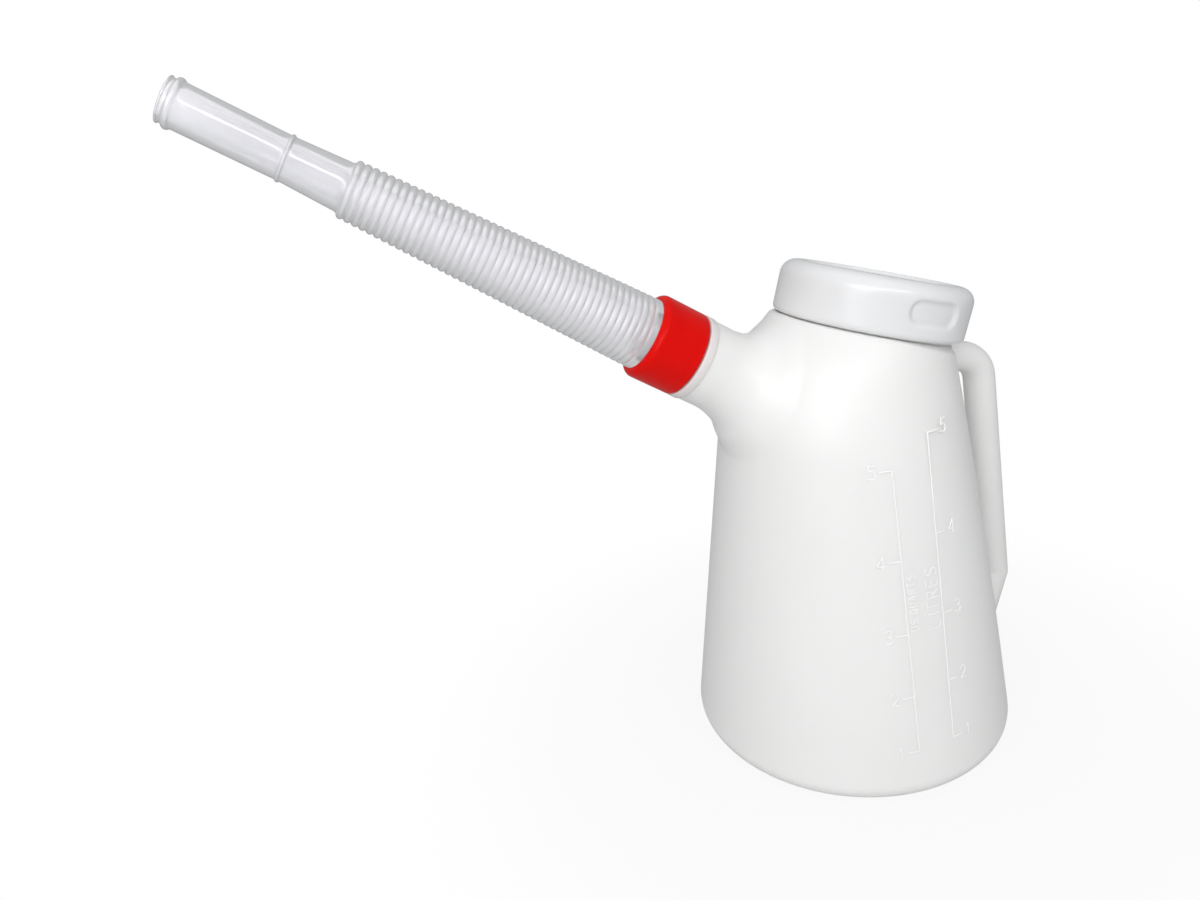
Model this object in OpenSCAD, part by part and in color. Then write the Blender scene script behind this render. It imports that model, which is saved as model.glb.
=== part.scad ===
// Oil jug: a five litre measuring jug with a wide tilted mouth, a push-on lid,
// and a flexible pouring spout held to a side neck by a red ring nut.
// Millimetres, +Z up. The origin is the middle of the standing plane. The spout
// points to -X, the handle to +X, and the measuring scale faces -Y.

/* [Body] */
// radius that the straight wall would have at the standing plane
wall_r0 = 102.4; // [60:0.1:160]
// lean of the wall towards the axis, in degrees
wall_taper = 7.8; // [2:0.1:15]
// rounding between the wall and the base
foot_round = 11; // [6:0.5:30]
// thickness of the blown wall
wall = 1.8; // [1.2:0.1:3]
// how far the middle of the base is raised
base_rise = 1.2; // [0.5:0.1:4]
// width of the flat ring that the jug stands on
stand_width = 9; // [5:0.5:20]

/* [Mouth] */
// how far the mouth's centre is set towards the handle
mouth_x = 17.5; // [0:0.5:40]
// height of the mouth's ledge at its centre
mouth_z = 261.7; // [200:0.1:320]
// tilt of the mouth towards the handle, in degrees
mouth_tilt = 16.7; // [0:0.1:30]
// outside radius of the mouth's rim wall
mouth_r = 50; // [35:0.5:60]
// height of the rim wall above the ledge
mouth_h = 27.2; // [12:0.2:40]
// how far the ledge stands out around the rim wall
ledge_out = 6; // [3:0.2:15]
// rounding of the ledge's edge
ledge_round = 4.5; // [1:0.5:8]
// lean of the shoulder under the ledge, in degrees
shoulder_lean = 26.5; // [10:0.5:45]

/* [Neck] */
// where the neck's axis starts, along X
neck_x = -46.5; // [-70:0.5:-20]
// where the neck's axis starts, in height
neck_z = 231.1; // [180:0.1:280]
// rise of the neck's axis above the level, in degrees
neck_rise = 34.6; // [10:0.1:60]
// radius of the neck behind its ring
neck_r = 24.1; // [18:0.1:32]
// distance along the axis where the bell starts to open
bell_start = 28; // [15:0.5:45]
// rounding of the bell
bell_round = 14; // [6:0.5:30]
// opening angle of the bell where it meets the body, in degrees
bell_angle = 47; // [30:1:60]
// distance along the axis to the front of the neck's ring
ring_front = 59.1; // [40:0.1:80]
// width of the neck's ring
ring_width = 5; // [2:0.2:10]
// how far the ring stands out from the neck
ring_step = 0.6; // [0.2:0.1:3]
// radius of the neck's mouth, under the ring nut
spigot_r = 21.9; // [16:0.1:28]

/* [Ring nut] */
// outside radius of the ring nut
nut_r = 24.5; // [20:0.1:34]
// length of the ring nut
nut_len = 28.5; // [20:0.5:45]
// rounding of the nut's outer end
nut_front_round = 4; // [1:0.5:6]
// rounding of the nut's end at the jug
nut_back_round = 1.4; // [0.4:0.1:3]
// thickness of the nut's front lip
nut_lip = 2.9; // [1.5:0.1:5]
// radial gap between the nut and the neck
nut_fit = 0.1; // [0.05:0.01:0.3]

/* [Spout] */
// crest radius of the hose at the ring nut
hose_r1 = 20.5; // [14:0.1:26]
// crest radius of the hose at its outer end
hose_r2 = 14.9; // [10:0.1:24]
// length of the smooth band between the nut and the first rib
hose_band = 4.2; // [2:0.1:10]
// number of ribs
rib_count = 43; // [20:1:60]
// distance from rib to rib
rib_pitch = 3.86; // [3:0.01:6]
// depth of a rib, crest to groove
rib_depth = 1.6; // [0.8:0.1:3]
// wall of the spout
spout_wall = 1.1; // [0.8:0.1:2]
// thickness of the hose's flange under the nut
flange_t = 2; // [1.2:0.1:4]
// radius of the smooth tube where it leaves the hose
tube_r1 = 12.4; // [8:0.1:16]
// radius of the smooth tube from its thin ring to its end
tube_r2 = 11.1; // [7:0.1:15]
// length of the tube from the hose to its thin ring
tube_cone_len = 29.5; // [15:0.5:50]
// length of the tube from its thin ring to its end
tube_end_len = 55; // [30:0.5:90]
// how far the thin ring stands out
tube_ring = 0.6; // [0.2:0.1:2]
// radius of the bead's round section
bead_round = 1.9; // [1:0.1:3]
// how far the bead stands out from the tube
bead_step = 1.1; // [0.4:0.1:3]
// distance from the bead's middle to the end of the tube
bead_back = 4.6; // [3:0.1:12]
// thickness of the lip at the very end
lip_t = 1.1; // [0.6:0.1:3]
// depth of the groove between the bead and the lip
lip_groove = 0.5; // [0.2:0.1:1.5]

/* [Lid] */
// how far the lid's outside stands out from the rim wall
lid_over = 5.4; // [3:0.1:12]
// how far the lid's top edge stands above the rim
lid_above = 4; // [3:0.1:10]
// rounding of the lid's top edge
lid_round = 9; // [3:0.5:14]
// rounding of the lid's bottom edge
lid_hem = 3.5; // [1:0.5:6]
// wall of the lid
lid_wall = 2.1; // [1.4:0.1:4]
// how far the lid's top panel is sunk
panel_sink = 2.1; // [0.5:0.1:6]
// radius of the sunk panel
panel_r = 44; // [25:0.5:50]
// gap between the lid's lower edge and the ledge
lid_gap = 0.5; // [0.2:0.1:2]
// radial gap between the lid's inner band and the rim wall
lid_fit = 0.1; // [0.05:0.01:0.3]
// width of a finger recess
recess_w = 32; // [20:1:50]
// height of a finger recess
recess_h = 13; // [8:0.5:20]
// depth of a finger recess
recess_d = 1.9; // [0.5:0.1:2.5]
// height of the recess's middle above the lid's lower edge
recess_z = 15.8; // [8:0.1:22]
// how far round the lid the first recess lies from the scale side, in degrees
recess_turn = 6; // [-180:1:180]

/* [Handle] */
// radius of the handle's bar
grip_r = 9.5; // [7:0.1:14]
// distance of the bar's middle from the jug's axis at the grip height
grip_x = 100.3; // [80:0.1:150]
// height at which that distance is taken
grip_z = 189; // [120:1:230]
// lean of the bar, lower end outwards, in degrees
grip_lean = 6.7; // [0:0.1:15]
// radius of the bend at the top of the handle
grip_bend = 18; // [11:0.5:40]
// slope of the handle's top arm, in degrees
arm_slope = 18; // [0:0.1:45]
// height of the top arm's middle where it meets the bar's line
arm_z = 226.9; // [200:0.1:260]
// how far the top arm runs on inside the wall's line
arm_bite = 12; // [6:0.5:30]
// height of the bar's lower end
grip_low_z = 72; // [40:1:120]
// radius of the handle's lower root
root_r = 15; // [10:0.5:22]
// length of the handle's lower root
root_len = 36; // [20:1:60]
// lean of the lower root towards the jug, in degrees
root_lean = 28; // [10:1:60]
// depth of the finger channel in the body behind the bar
channel_d = 8; // [3:0.5:14]
// radius of the finger channel
channel_r = 24; // [16:0.5:40]
// how far above the bar's lower end the channel starts
channel_low = 8; // [0:0.5:30]
// how far below the top arm the channel stops
channel_high = 22; // [15:0.5:40]

/* [Scale] */
// sideways place of the litre line
litre_x = 12.6; // [5:0.1:40]
// sideways place of the quart line
quart_x = -10.2; // [-40:0.1:-5]
// how far the scale moves sideways in 100 mm of height
scale_lean = -1.5; // [-5:0.1:5]
// width of a raised line
line_w = 1.1; // [0.6:0.1:3]
// how far a line stands out
line_d = 0.4; // [0.2:0.1:1]
// length of a mark
mark_len = 6.5; // [3:0.5:15]
// volume between two litre marks, in cubic millimetres
litre = 1000000; // [500000:1000:2000000]
// number of litre marks
litre_marks = 5; // [2:1:6]
// size of a quart, in litres
quart_ratio = 0.946; // [0.9:0.001:1.2]

/* [Hidden] */
$fn = 96;
// a ball at the end of a bar is this much larger, so that their surfaces cross cleanly
ball_over = 0.04;
// a rounding is this much larger, so that it crosses the flanks it runs into
graze = 0.02;
// the ledge and the lid go with the mouth
ledge_r = mouth_r + ledge_out;
lid_r = mouth_r + lid_over;
lid_h = mouth_h + lid_above;
// longer than any piece
far = 500;
body_top = mouth_z + ledge_r * sin(mouth_tilt) + 10;
slope = tan(wall_taper);
foot_c = wall_r0 - foot_round * slope - foot_round / cos(wall_taper);
stand_r = foot_c - stand_width;

// distances along the neck's axis
nut_back = ring_front + 0.6;
nut_front = nut_back + nut_len;
lip_back = nut_front - nut_lip;
flange_back = lip_back - 0.05 - flange_t;
spigot_end = flange_back - 0.05;
rib_first = nut_front + hose_band;
hose_end = rib_first + rib_count * rib_pitch;
tube_start = hose_end + 0.05;
tube_ring_at = tube_start + tube_cone_len;
tube_end = tube_ring_at + tube_end_len;

// where the bell ends, inside the body
bell_low = 2;

// outside radius of the straight wall at a height
function wall_at(z) = wall_r0 - z * slope;
// height that a volume fills the jug to, from the cone's volume
inner_r0 = wall_r0 - wall / cos(wall_taper);
// what the foot takes from the volume; the hollow root of the handle makes up for the raised base
foot_loss = 2 * PI * foot_c * (1 - PI / 4) * pow(foot_round - wall, 2);
function fill_z(v) = (inner_r0 - pow(pow(inner_r0 - wall * slope, 3)
    - 3 * slope * (v + foot_loss) / PI, 1 / 3)) / slope;

// crest radius of the hose at rib number i, counted from the nut
function crest(i) = hose_r1 + (hose_r2 - hose_r1) * i / (rib_count - 1);

module at_mouth() translate([mouth_x, 0, mouth_z]) rotate([0, mouth_tilt, 0]) children();
module at_neck() translate([neck_x, 0, neck_z]) rotate([0, neck_rise - 90, 0]) children();

// half section of the straight wall, base and foot, set in by a distance
module wall_section(inset) {
    r = foot_round - inset;
    reach = wall_at(0) - inset / cos(wall_taper);
    polygon([[0, inset], [foot_c, inset],
        [foot_c + r * cos(wall_taper), foot_round + r * sin(wall_taper)],
        [reach - body_top * slope, body_top], [0, body_top]]);
    translate([foot_c, foot_round]) circle(r);
}

// half section of the leaning shoulder below the mouth, set in by a distance
module shoulder_section(inset) {
    lean = tan(shoulder_lean);
    r = ledge_round - min(inset, ledge_round - 1);
    top_r = ledge_r + inset * lean - inset / cos(shoulder_lean);
    c = top_r - r * tan(45 - shoulder_lean / 2);
    low = -far;
    polygon([[0, -inset], [c, -inset],
        [c + r * cos(shoulder_lean), r * sin(shoulder_lean) - r - inset],
        [top_r - (low + inset) * lean, low], [0, low]]);
    translate([c, -inset - r - graze]) circle(r + graze);
}

// half section of the neck and its bell, set in by a distance
module bell_section(inset) {
    r = neck_r - inset;
    rho = bell_round + inset;
    tr = r + rho * (1 - cos(bell_angle));
    ts = bell_start - rho * sin(bell_angle);
    low_r = tr + (ts - bell_low) * tan(bell_angle);
    difference() {
        polygon([[0, bell_low], [low_r, bell_low], [tr, ts], [r, bell_start],
            [r, ring_front - inset], [0, ring_front - inset]]);
        translate([r + rho, bell_start]) circle(rho + graze);
    }
}

// the handle as a bar, a bend and two roots, set in by a distance
module handle_form(inset) {
    r = grip_r - inset;
    lean = tan(grip_lean);
    knee_x = grip_x + (grip_z - arm_z) * lean;
    turn = 90 - arm_slope - grip_lean;
    run = grip_bend * tan(turn / 2);
    top_x = knee_x + run * sin(grip_lean);
    top_z = arm_z - run * cos(grip_lean);
    bend_x = top_x - grip_bend * cos(grip_lean);
    bend_z = top_z - grip_bend * sin(grip_lean);
    low_x = grip_x + (grip_z - grip_low_z) * lean;
    bar_len = (top_z - grip_low_z) / cos(grip_lean);
    arm_x = knee_x - run * cos(arm_slope);
    arm_from = arm_z + run * sin(arm_slope);
    root_x = low_x - root_len * sin(root_lean);
    root_z = grip_low_z - root_len * cos(root_lean);
    translate([low_x, 0, grip_low_z]) rotate([0, -grip_lean, 0]) cylinder(h = bar_len, r = r);
    translate([bend_x, 0, bend_z]) rotate([90, 0, 0]) rotate([0, 0, grip_lean])
        rotate_extrude(angle = turn) translate([grip_bend, 0]) circle(r);
    arm_len = (arm_x - wall_at(arm_from) + arm_bite) / cos(arm_slope);
    translate([arm_x, 0, arm_from]) rotate([0, -90 + arm_slope, 0]) cylinder(h = arm_len, r = r);
    translate([low_x, 0, grip_low_z]) rotate([0, 180 + root_lean, 0])
        cylinder(h = root_len, r1 = r, r2 = root_r - inset);
    joints = [[top_x, top_z, r], [arm_x, arm_from, r], [low_x, grip_low_z, r],
        [root_x, root_z, root_r - inset]];
    for (p = joints) translate([p[0], 0, p[1]]) sphere(p[2] + ball_over);
}

// the finger channel behind the bar, grown by a distance
module channel_form(grow) {
    r = channel_r + grow;
    z0 = grip_low_z + channel_low;
    z1 = arm_z - channel_high;
    x0 = wall_at(z0) - channel_d + channel_r;
    len = (z1 - z0) / cos(wall_taper);
    translate([x0, 0, z0]) rotate([0, -wall_taper, 0]) cylinder(h = len, r = r);
    translate([x0, 0, z0]) sphere(r + ball_over);
    translate([x0 - len * sin(wall_taper), 0, z0 + len * cos(wall_taper)]) sphere(r + ball_over);
}

module shell_form(inset) {
    difference() {
        intersection() {
            // turned so that the wall's seam lies on the far side, clear of the handle
            rotate([0, 0, 90]) rotate_extrude() wall_section(inset);
            at_mouth() rotate_extrude() shoulder_section(inset);
        }
        channel_form(inset);
    }
    at_neck() rotate_extrude() bell_section(inset);
    handle_form(inset);
}

// raised lines and marks of the scale, trimmed to the wall
module scale_marks() {
    z_low = fill_z(quart_ratio * litre) - 8;
    z_high = fill_z(litre_marks * litre) + 6;
    mid = (z_low + z_high) / 2;
    lean = atan(scale_lean / 100);
    intersection() {
        rotate_extrude() wall_section(-line_d);
        translate([0, -wall_r0, mid]) rotate([0, lean, 0]) translate([0, 0, -mid]) {
            for (x = [litre_x, quart_x])
                translate([x - line_w / 2, 0, z_low]) cube([line_w, wall_r0 / 2, z_high - z_low]);
            for (i = [1 : litre_marks]) {
                translate([litre_x, 0, fill_z(i * litre) - line_w / 2])
                    cube([mark_len, wall_r0 / 2, line_w]);
                translate([quart_x - mark_len, 0, fill_z(i * litre * quart_ratio) - line_w / 2])
                    cube([mark_len, wall_r0 / 2, line_w]);
            }
        }
    }
}

module jug_body() color([0.93, 0.93, 0.92]) difference() {
    union() {
        difference() {
            union() {
                shell_form(0);
                scale_marks();
                at_mouth() translate([0, 0, -ledge_round]) cylinder(h = mouth_h + ledge_round, r = mouth_r);
                at_neck() translate([0, 0, ring_front - ring_width])
                    cylinder(h = ring_width, r = neck_r + ring_step);
                at_neck() translate([0, 0, ring_front - wall])
                    cylinder(h = spigot_end - ring_front + wall, r = spigot_r);
            }
            shell_form(wall);
            at_mouth() translate([0, 0, -2 * ledge_round])
                cylinder(h = mouth_h + 3 * ledge_round, r = mouth_r - wall);
            at_neck() translate([0, 0, bell_start])
                cylinder(h = spigot_end - bell_start + 1, r = spigot_r - wall);
        }
        translate([0, 0, wall / 2]) cylinder(h = wall / 2 + base_rise, r = stand_r + wall);
    }
    translate([0, 0, -1]) cylinder(h = 1 + base_rise, r = stand_r);
}

// half section of the lid's outside, set in by a distance
module lid_section(inset) {
    r = lid_r - inset;
    difference() {
        union() {
            translate([0, lid_hem]) square([r, lid_h - lid_hem - lid_round]);
            square([r - lid_hem + inset, lid_h - lid_round]);
            square([r - lid_round + inset, lid_h - inset]);
            translate([lid_r - lid_round, lid_h - lid_round]) circle(lid_round - inset);
            if (inset < lid_hem)
                translate([lid_r - lid_hem, lid_hem]) circle(lid_hem - inset);
        }
        translate([-lid_r, 0]) square([lid_r, lid_h]);
    }
}

// both finger recesses, from a radius outwards, widened by a distance
module recess_form(floor_r, grow) {
    flat = recess_w - recess_h;
    high = recess_h + 2 * grow;
    difference() {
        for (a = [recess_turn - 90, recess_turn + 90])
            rotate([0, 0, a]) translate([floor_r * 0.8, 0, recess_z]) rotate([0, 90, 0]) {
                translate([-high / 2, -flat / 2, 0]) cube([high, flat, lid_r]);
                for (s = [-1, 1]) translate([0, s * flat / 2, 0]) cylinder(h = lid_r, d = high);
            }
        cylinder(h = lid_h, r = floor_r);
    }
}

module lid() color([0.90, 0.91, 0.93]) {
    panel_top = lid_h - panel_sink;
    under = mouth_h - lid_gap + 0.1;
    at_mouth() translate([0, 0, lid_gap]) difference() {
        rotate_extrude() lid_section(0);
        difference() {
            translate([0, 0, -1]) rotate_extrude() intersection() {
                union() {
                    translate([0, 1]) lid_section(lid_wall);
                    square([lid_r - lid_wall, 4]);
                }
                square([lid_r, under + 1]);
            }
            // band inside the skirt that holds the rim wall
            translate([0, 0, 5]) difference() {
                cylinder(h = 4, r = lid_r);
                translate([0, 0, -1]) cylinder(h = 6, r = mouth_r + lid_fit);
            }
            // the wall bulges inwards behind each recess
            recess_form(lid_r - recess_d - lid_wall, 1.5);
        }
        translate([0, 0, panel_top]) cylinder(h = panel_sink + 1, r = panel_r);
        recess_form(lid_r - recess_d, 0);
    }
}

module ring_nut() color([0.82, 0.02, 0.02]) at_neck() translate([0, 0, nut_back]) {
    difference() {
        rotate_extrude() {
            translate([0, nut_back_round]) square([nut_r, nut_len - nut_back_round - nut_front_round]);
            square([nut_r - nut_back_round, nut_len - nut_front_round]);
            square([nut_r - nut_front_round, nut_len]);
            translate([nut_r - nut_back_round, nut_back_round]) circle(nut_back_round);
            translate([nut_r - nut_front_round, nut_len - nut_front_round]) circle(nut_front_round);
        }
        translate([0, 0, -1]) cylinder(h = lip_back - nut_back + 1, r = spigot_r + nut_fit);
        cylinder(h = nut_len + 1, r = hose_r1 + nut_fit);
    }
}

// half section of the hose's outside, set in by the wall
module hose_section(inset) {
    r1 = hose_r1 - inset;
    round_r = rib_pitch * 0.52 - inset * 0.75;
    groove1 = hose_r1 - rib_depth - inset;
    groove2 = hose_r2 - rib_depth - inset;
    translate([0, flange_back]) square([r1, rib_first - flange_back - inset]);
    polygon([[0, rib_first - 1], [groove1, rib_first - 1], [groove2, hose_end], [0, hose_end]]);
    for (i = [0 : rib_count - 1])
        translate([crest(i) - inset - round_r, rib_first + (i + 0.5) * rib_pitch]) circle(round_r);
}

module spout_hose() color([0.84, 0.84, 0.87]) at_neck() rotate_extrude() difference() {
    union() {
        hose_section(0);
        translate([0, flange_back]) square([spigot_r - 0.1, flange_t]);
    }
    union() {
        hose_section(spout_wall);
        translate([0, flange_back - 1]) square([hose_r1 - spout_wall, 2]);
        translate([0, hose_end - rib_pitch]) square([tube_r1 - spout_wall, rib_pitch + 1]);
    }
    translate([-far, 0]) square([far, far]);
    translate([0, hose_end]) square([far, far]);
}

module spout_tube() color([0.84, 0.84, 0.87]) at_neck() rotate_extrude() difference() {
    union() {
        polygon([[0, tube_start], [tube_r1, tube_start], [tube_r2, tube_ring_at],
            [tube_r2, tube_end - bead_back], [tube_r2 - lip_groove, tube_end - bead_back + bead_round],
            [tube_r2 - lip_groove, tube_end - lip_t], [tube_r2, tube_end - lip_t],
            [tube_r2, tube_end], [0, tube_end]]);
        translate([tube_r2 + bead_step - bead_round, tube_end - bead_back]) circle(bead_round);
        translate([tube_r2 + tube_ring - 0.9, tube_ring_at]) circle(0.9);
    }
    polygon([[0, tube_start - 1], [tube_r1 - spout_wall, tube_start - 1],
        [tube_r1 - spout_wall, tube_start],
        [tube_r2 - spout_wall, tube_ring_at], [tube_r2 - spout_wall, tube_end + 1], [0, tube_end + 1]]);
}

jug_body();
lid();
ring_nut();
spout_hose();
spout_tube();
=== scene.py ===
import bpy
import numpy as np
from math import sin, cos, tan, radians, pi
from mathutils import Matrix


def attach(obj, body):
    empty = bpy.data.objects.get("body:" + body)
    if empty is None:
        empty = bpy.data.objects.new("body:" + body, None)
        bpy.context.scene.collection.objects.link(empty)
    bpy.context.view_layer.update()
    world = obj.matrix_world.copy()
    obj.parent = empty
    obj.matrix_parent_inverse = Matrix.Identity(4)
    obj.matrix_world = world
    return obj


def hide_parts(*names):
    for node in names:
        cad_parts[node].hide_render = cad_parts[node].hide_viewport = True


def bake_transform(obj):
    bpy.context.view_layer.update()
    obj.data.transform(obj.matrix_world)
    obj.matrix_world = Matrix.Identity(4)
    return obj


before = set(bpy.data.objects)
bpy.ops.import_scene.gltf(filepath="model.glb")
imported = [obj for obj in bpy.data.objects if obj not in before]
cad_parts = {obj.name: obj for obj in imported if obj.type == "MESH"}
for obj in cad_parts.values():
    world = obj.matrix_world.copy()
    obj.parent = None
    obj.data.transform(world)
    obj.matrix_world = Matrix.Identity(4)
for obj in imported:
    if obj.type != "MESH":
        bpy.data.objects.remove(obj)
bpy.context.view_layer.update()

MM = 0.001

# ---------------------------------------------------------------- the jug's own sizes, in millimetres
WALL_R0, TAPER, FOOT_ROUND, WALL = 102.4, radians(7.8), 11.0, 1.8
BASE_RISE, STAND_R = 1.2, 80.8
MOUTH = np.array([17.5, 0.0, 261.7])
TILT = radians(16.7)
MOUTH_R, MOUTH_H, LEDGE_R, LEDGE_ROUND, SHOULDER = 50.0, 27.2, 56.0, 4.5, radians(26.5)
RIM_ROUND = 1.5
NECK = np.array([-46.5, 0.0, 231.1])
RISE = radians(34.6)
NECK_R, BELL_START, BELL_ROUND, BELL = 24.1, 28.0, 14.0, radians(47.0)
RING_FRONT, RING_WIDTH, RING_STEP, SPIGOT_R, SPIGOT_END = 59.1, 5.0, 0.6, 21.9, 83.2
NUT_BACK, NUT_LEN, NUT_R, NUT_BORE, NUT_HOLE, NUT_LIP_AT = 59.7, 28.5, 24.5, 22.0, 20.6, 85.3
HOSE_R1, HOSE_R2, RIB_FIRST, RIBS, PITCH = 20.5, 14.9, 92.4, 43, 3.86
SPOUT_WALL, NUB_TURNS = 1.1, (radians(60.0), radians(240.0))
HOSE_END = RIB_FIRST + RIBS * PITCH
TUBE_R1, TUBE_R2, TUBE_BORE, TUBE_RING_AT, TUBE_END, FLANGE_IN = 12.4, 11.1, 10.0, 287.93, 342.93, 18.9
LID_R, LID_H, LID_ROUND, LID_HEM, LID_WALL, LID_GAP = 55.4, 31.2, 9.0, 3.5, 2.1, 0.5
RIM_UNDER = 26.8
GRIP_R, GRIP_BEND, GRIP_X, GRIP_Z, GRIP_LOW_Z = 9.5, 18.0, 100.3, 189.0, 72.0
ARM_Z, ARM_LEN, ROOT_R, ROOT_LEN = 226.9, 27.5, 15.0, 36.0
CHANNEL_D, CHANNEL_R, CHANNEL_LOW, CHANNEL_HIGH = 8.0, 24.0, 80.0, 204.9
SHOULDER_ROUND, HANDLE_FILLET, CHANNEL_ROUND, BELL_LOW = 16.0, 7.0, 6.0, 2.0
FILLET_MIN, FILLET_MORE, FILLET_FROM, FILLET_OVER = 0.3, 12.7, 3.0, 15.0
RECESS_W, RECESS_H, RECESS_Z, RECESS_D, RECESS_SOFT, RECESS_TURN = 32.0, 13.0, 15.8, 1.9, 2.6, 6.0
GRIP_LEAN, ARM_SLOPE, ROOT_LEAN = radians(6.7), radians(18.0), radians(28.0)

# axis frames: columns are the two cross directions and the axis
MOUTH_AXES = np.array([[cos(TILT), 0, -sin(TILT)], [0, 1, 0], [sin(TILT), 0, cos(TILT)]])
NECK_AXES = np.array([[sin(RISE), 0, cos(RISE)], [0, -1, 0], [-cos(RISE), 0, sin(RISE)]])


def place(axes, origin, local):
    """Points given along an axis frame, moved to the row frame:
    origin plus each coordinate times its direction."""
    return origin + local @ axes


# ---------------------------------------------------------------- meshes
def make_piece(name, verts_mm, faces, material, body, normals=None):
    """One object at the origin from whole arrays of points in millimetres and faces."""
    mesh = bpy.data.meshes.new(name)
    mesh.from_pydata((verts_mm * MM).tolist(), [], [list(map(int, f)) for f in faces])
    mesh.update()
    mesh.polygons.foreach_set("use_smooth", [True] * len(mesh.polygons))
    if normals is not None:
        mesh.normals_split_custom_set_from_vertices(normals.tolist())
    mesh.materials.append(material)
    obj = bpy.data.objects.new(name, mesh)
    bpy.context.scene.collection.objects.link(obj)
    if body:
        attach(obj, body)
    return obj


def grid_faces(rows, columns, close_rows=False, close_columns=True):
    """Quads of a grid of rows by columns points, wrapped round where asked."""
    r = np.arange(rows if close_rows else rows - 1)
    c = np.arange(columns if close_columns else columns - 1)
    r, c = np.meshgrid(r, c, indexing="ij")
    r2, c2 = (r + 1) % rows, (c + 1) % columns
    corners = [r * columns + c, r * columns + c2, r2 * columns + c2, r2 * columns + c]
    return np.stack(corners, -1).reshape(-1, 4)


def turned(profile, turns, axes, origin, shape=None):
    """A closed profile of (radius, distance) turned about an axis: x = r cos a, y = r sin a, z = distance.
    shape(r, z, a) may push the radius out or in by a function of the place. Returns points and faces."""
    r, z = profile[:, 0][:, None], profile[:, 1][:, None]
    a = np.linspace(0, 2 * pi, turns, endpoint=False)[None, :]
    r, z, a = np.broadcast_arrays(r, z, a)
    if shape is not None:
        r = shape(r, z, a)
    local = np.stack([r * np.cos(a), r * np.sin(a), z], -1).reshape(-1, 3)
    return place(axes, origin, local), grid_faces(len(profile), turns, close_rows=True)


def arc(cr, cz, radius, start, stop, n):
    """Points of a circle's arc in the (radius, distance) plane:
    the middle plus radius times (cos t, sin t), t in degrees from the outward direction."""
    t = np.radians(np.linspace(start, stop, n))
    return np.stack([cr + radius * np.cos(t), cz + radius * np.sin(t)], -1)


def dense(points, step):
    """The same open profile with extra points, no further apart than a step."""
    out = [points[:1]]
    for p, q in zip(points[:-1], points[1:]):
        n = max(1, int(np.ceil(np.linalg.norm(q - p) / step)))
        out.append(p + (q - p) * (np.arange(1, n + 1) / n)[:, None])
    return np.concatenate(out)


# ---------------------------------------------------------------- the blown body as a distance field
def rounded_meet(a, b, r):
    """Intersection of two fields whose edge is rounded by a radius."""
    u, v = a + r, b + r
    return np.minimum(np.maximum(u, v), 0) + np.hypot(np.maximum(u, 0), np.maximum(v, 0)) - r


def round_edge(a, b, r, cosine):
    """Intersection of two planes' distances whose edge is a true arc. With u = a + r, v = b + r and the
    cosine c between the planes' directions, the distance from the arc's middle is
    sqrt((u^2 + v^2 - 2 u v c) / (1 - c^2))."""
    u, v = a + r, b + r
    middle = np.sqrt(np.maximum(u * u + v * v - 2 * u * v * cosine, 0) / (1 - cosine ** 2))
    far = (v - cosine * u > 0) & (u - cosine * v > 0)
    return np.where(far, middle, np.maximum(u, v)) - r


def rounded_join(a, b, r):
    """Union of two fields whose inner corner is filled by a radius."""
    return -rounded_meet(-a, -b, r)


def segment(p, a, b, ra, rb):
    """Distance to a bar from a to b whose radius runs from ra to rb, with round ends."""
    ab = b - a
    t = np.clip(((p - a) @ ab) / (ab @ ab), 0, 1)
    return np.linalg.norm(p - a - t[:, None] * ab, axis=1) - (ra + (rb - ra) * t)


def handle_lines():
    """The handle's centre line: bar, bend, top arm and lower root, as the CAD source lays it."""
    lean = tan(GRIP_LEAN)
    knee = GRIP_X + (GRIP_Z - ARM_Z) * lean
    turn = pi / 2 - ARM_SLOPE - GRIP_LEAN
    run = GRIP_BEND * tan(turn / 2)
    top = np.array([knee + run * sin(GRIP_LEAN), 0, ARM_Z - run * cos(GRIP_LEAN)])
    bend = np.array([top[0] - GRIP_BEND * cos(GRIP_LEAN), 0, top[2] - GRIP_BEND * sin(GRIP_LEAN)])
    low = np.array([GRIP_X + (GRIP_Z - GRIP_LOW_Z) * lean, 0, GRIP_LOW_Z])
    root = low - ROOT_LEN * np.array([sin(ROOT_LEAN), 0, cos(ROOT_LEAN)])
    arm = np.array([knee - run * cos(ARM_SLOPE), 0, ARM_Z + run * sin(ARM_SLOPE)])
    arm_end = arm + ARM_LEN * np.array([-cos(ARM_SLOPE), 0, sin(ARM_SLOPE)])
    return top, bend, low, root, arm, arm_end, turn


def handle_field(p):
    """Distance to the handle: the nearest of its bar, bend, arm and root."""
    top, bend, low, root, arm, arm_end, turn = handle_lines()
    bar = segment(p, low, top, GRIP_R, GRIP_R)
    q = p - bend
    angle = np.arctan2(q[:, 2], q[:, 0])
    angle = np.clip(angle, GRIP_LEAN, GRIP_LEAN + turn)
    on = np.stack([np.cos(angle), np.zeros_like(angle), np.sin(angle)], -1) * GRIP_BEND
    curve = np.linalg.norm(q - on, axis=1) - GRIP_R
    upper = segment(p, arm, arm_end, GRIP_R, GRIP_R)
    lower = segment(p, low, root, GRIP_R, ROOT_R)
    return np.minimum(np.minimum(np.minimum(bar, curve), lower), upper)


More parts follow.
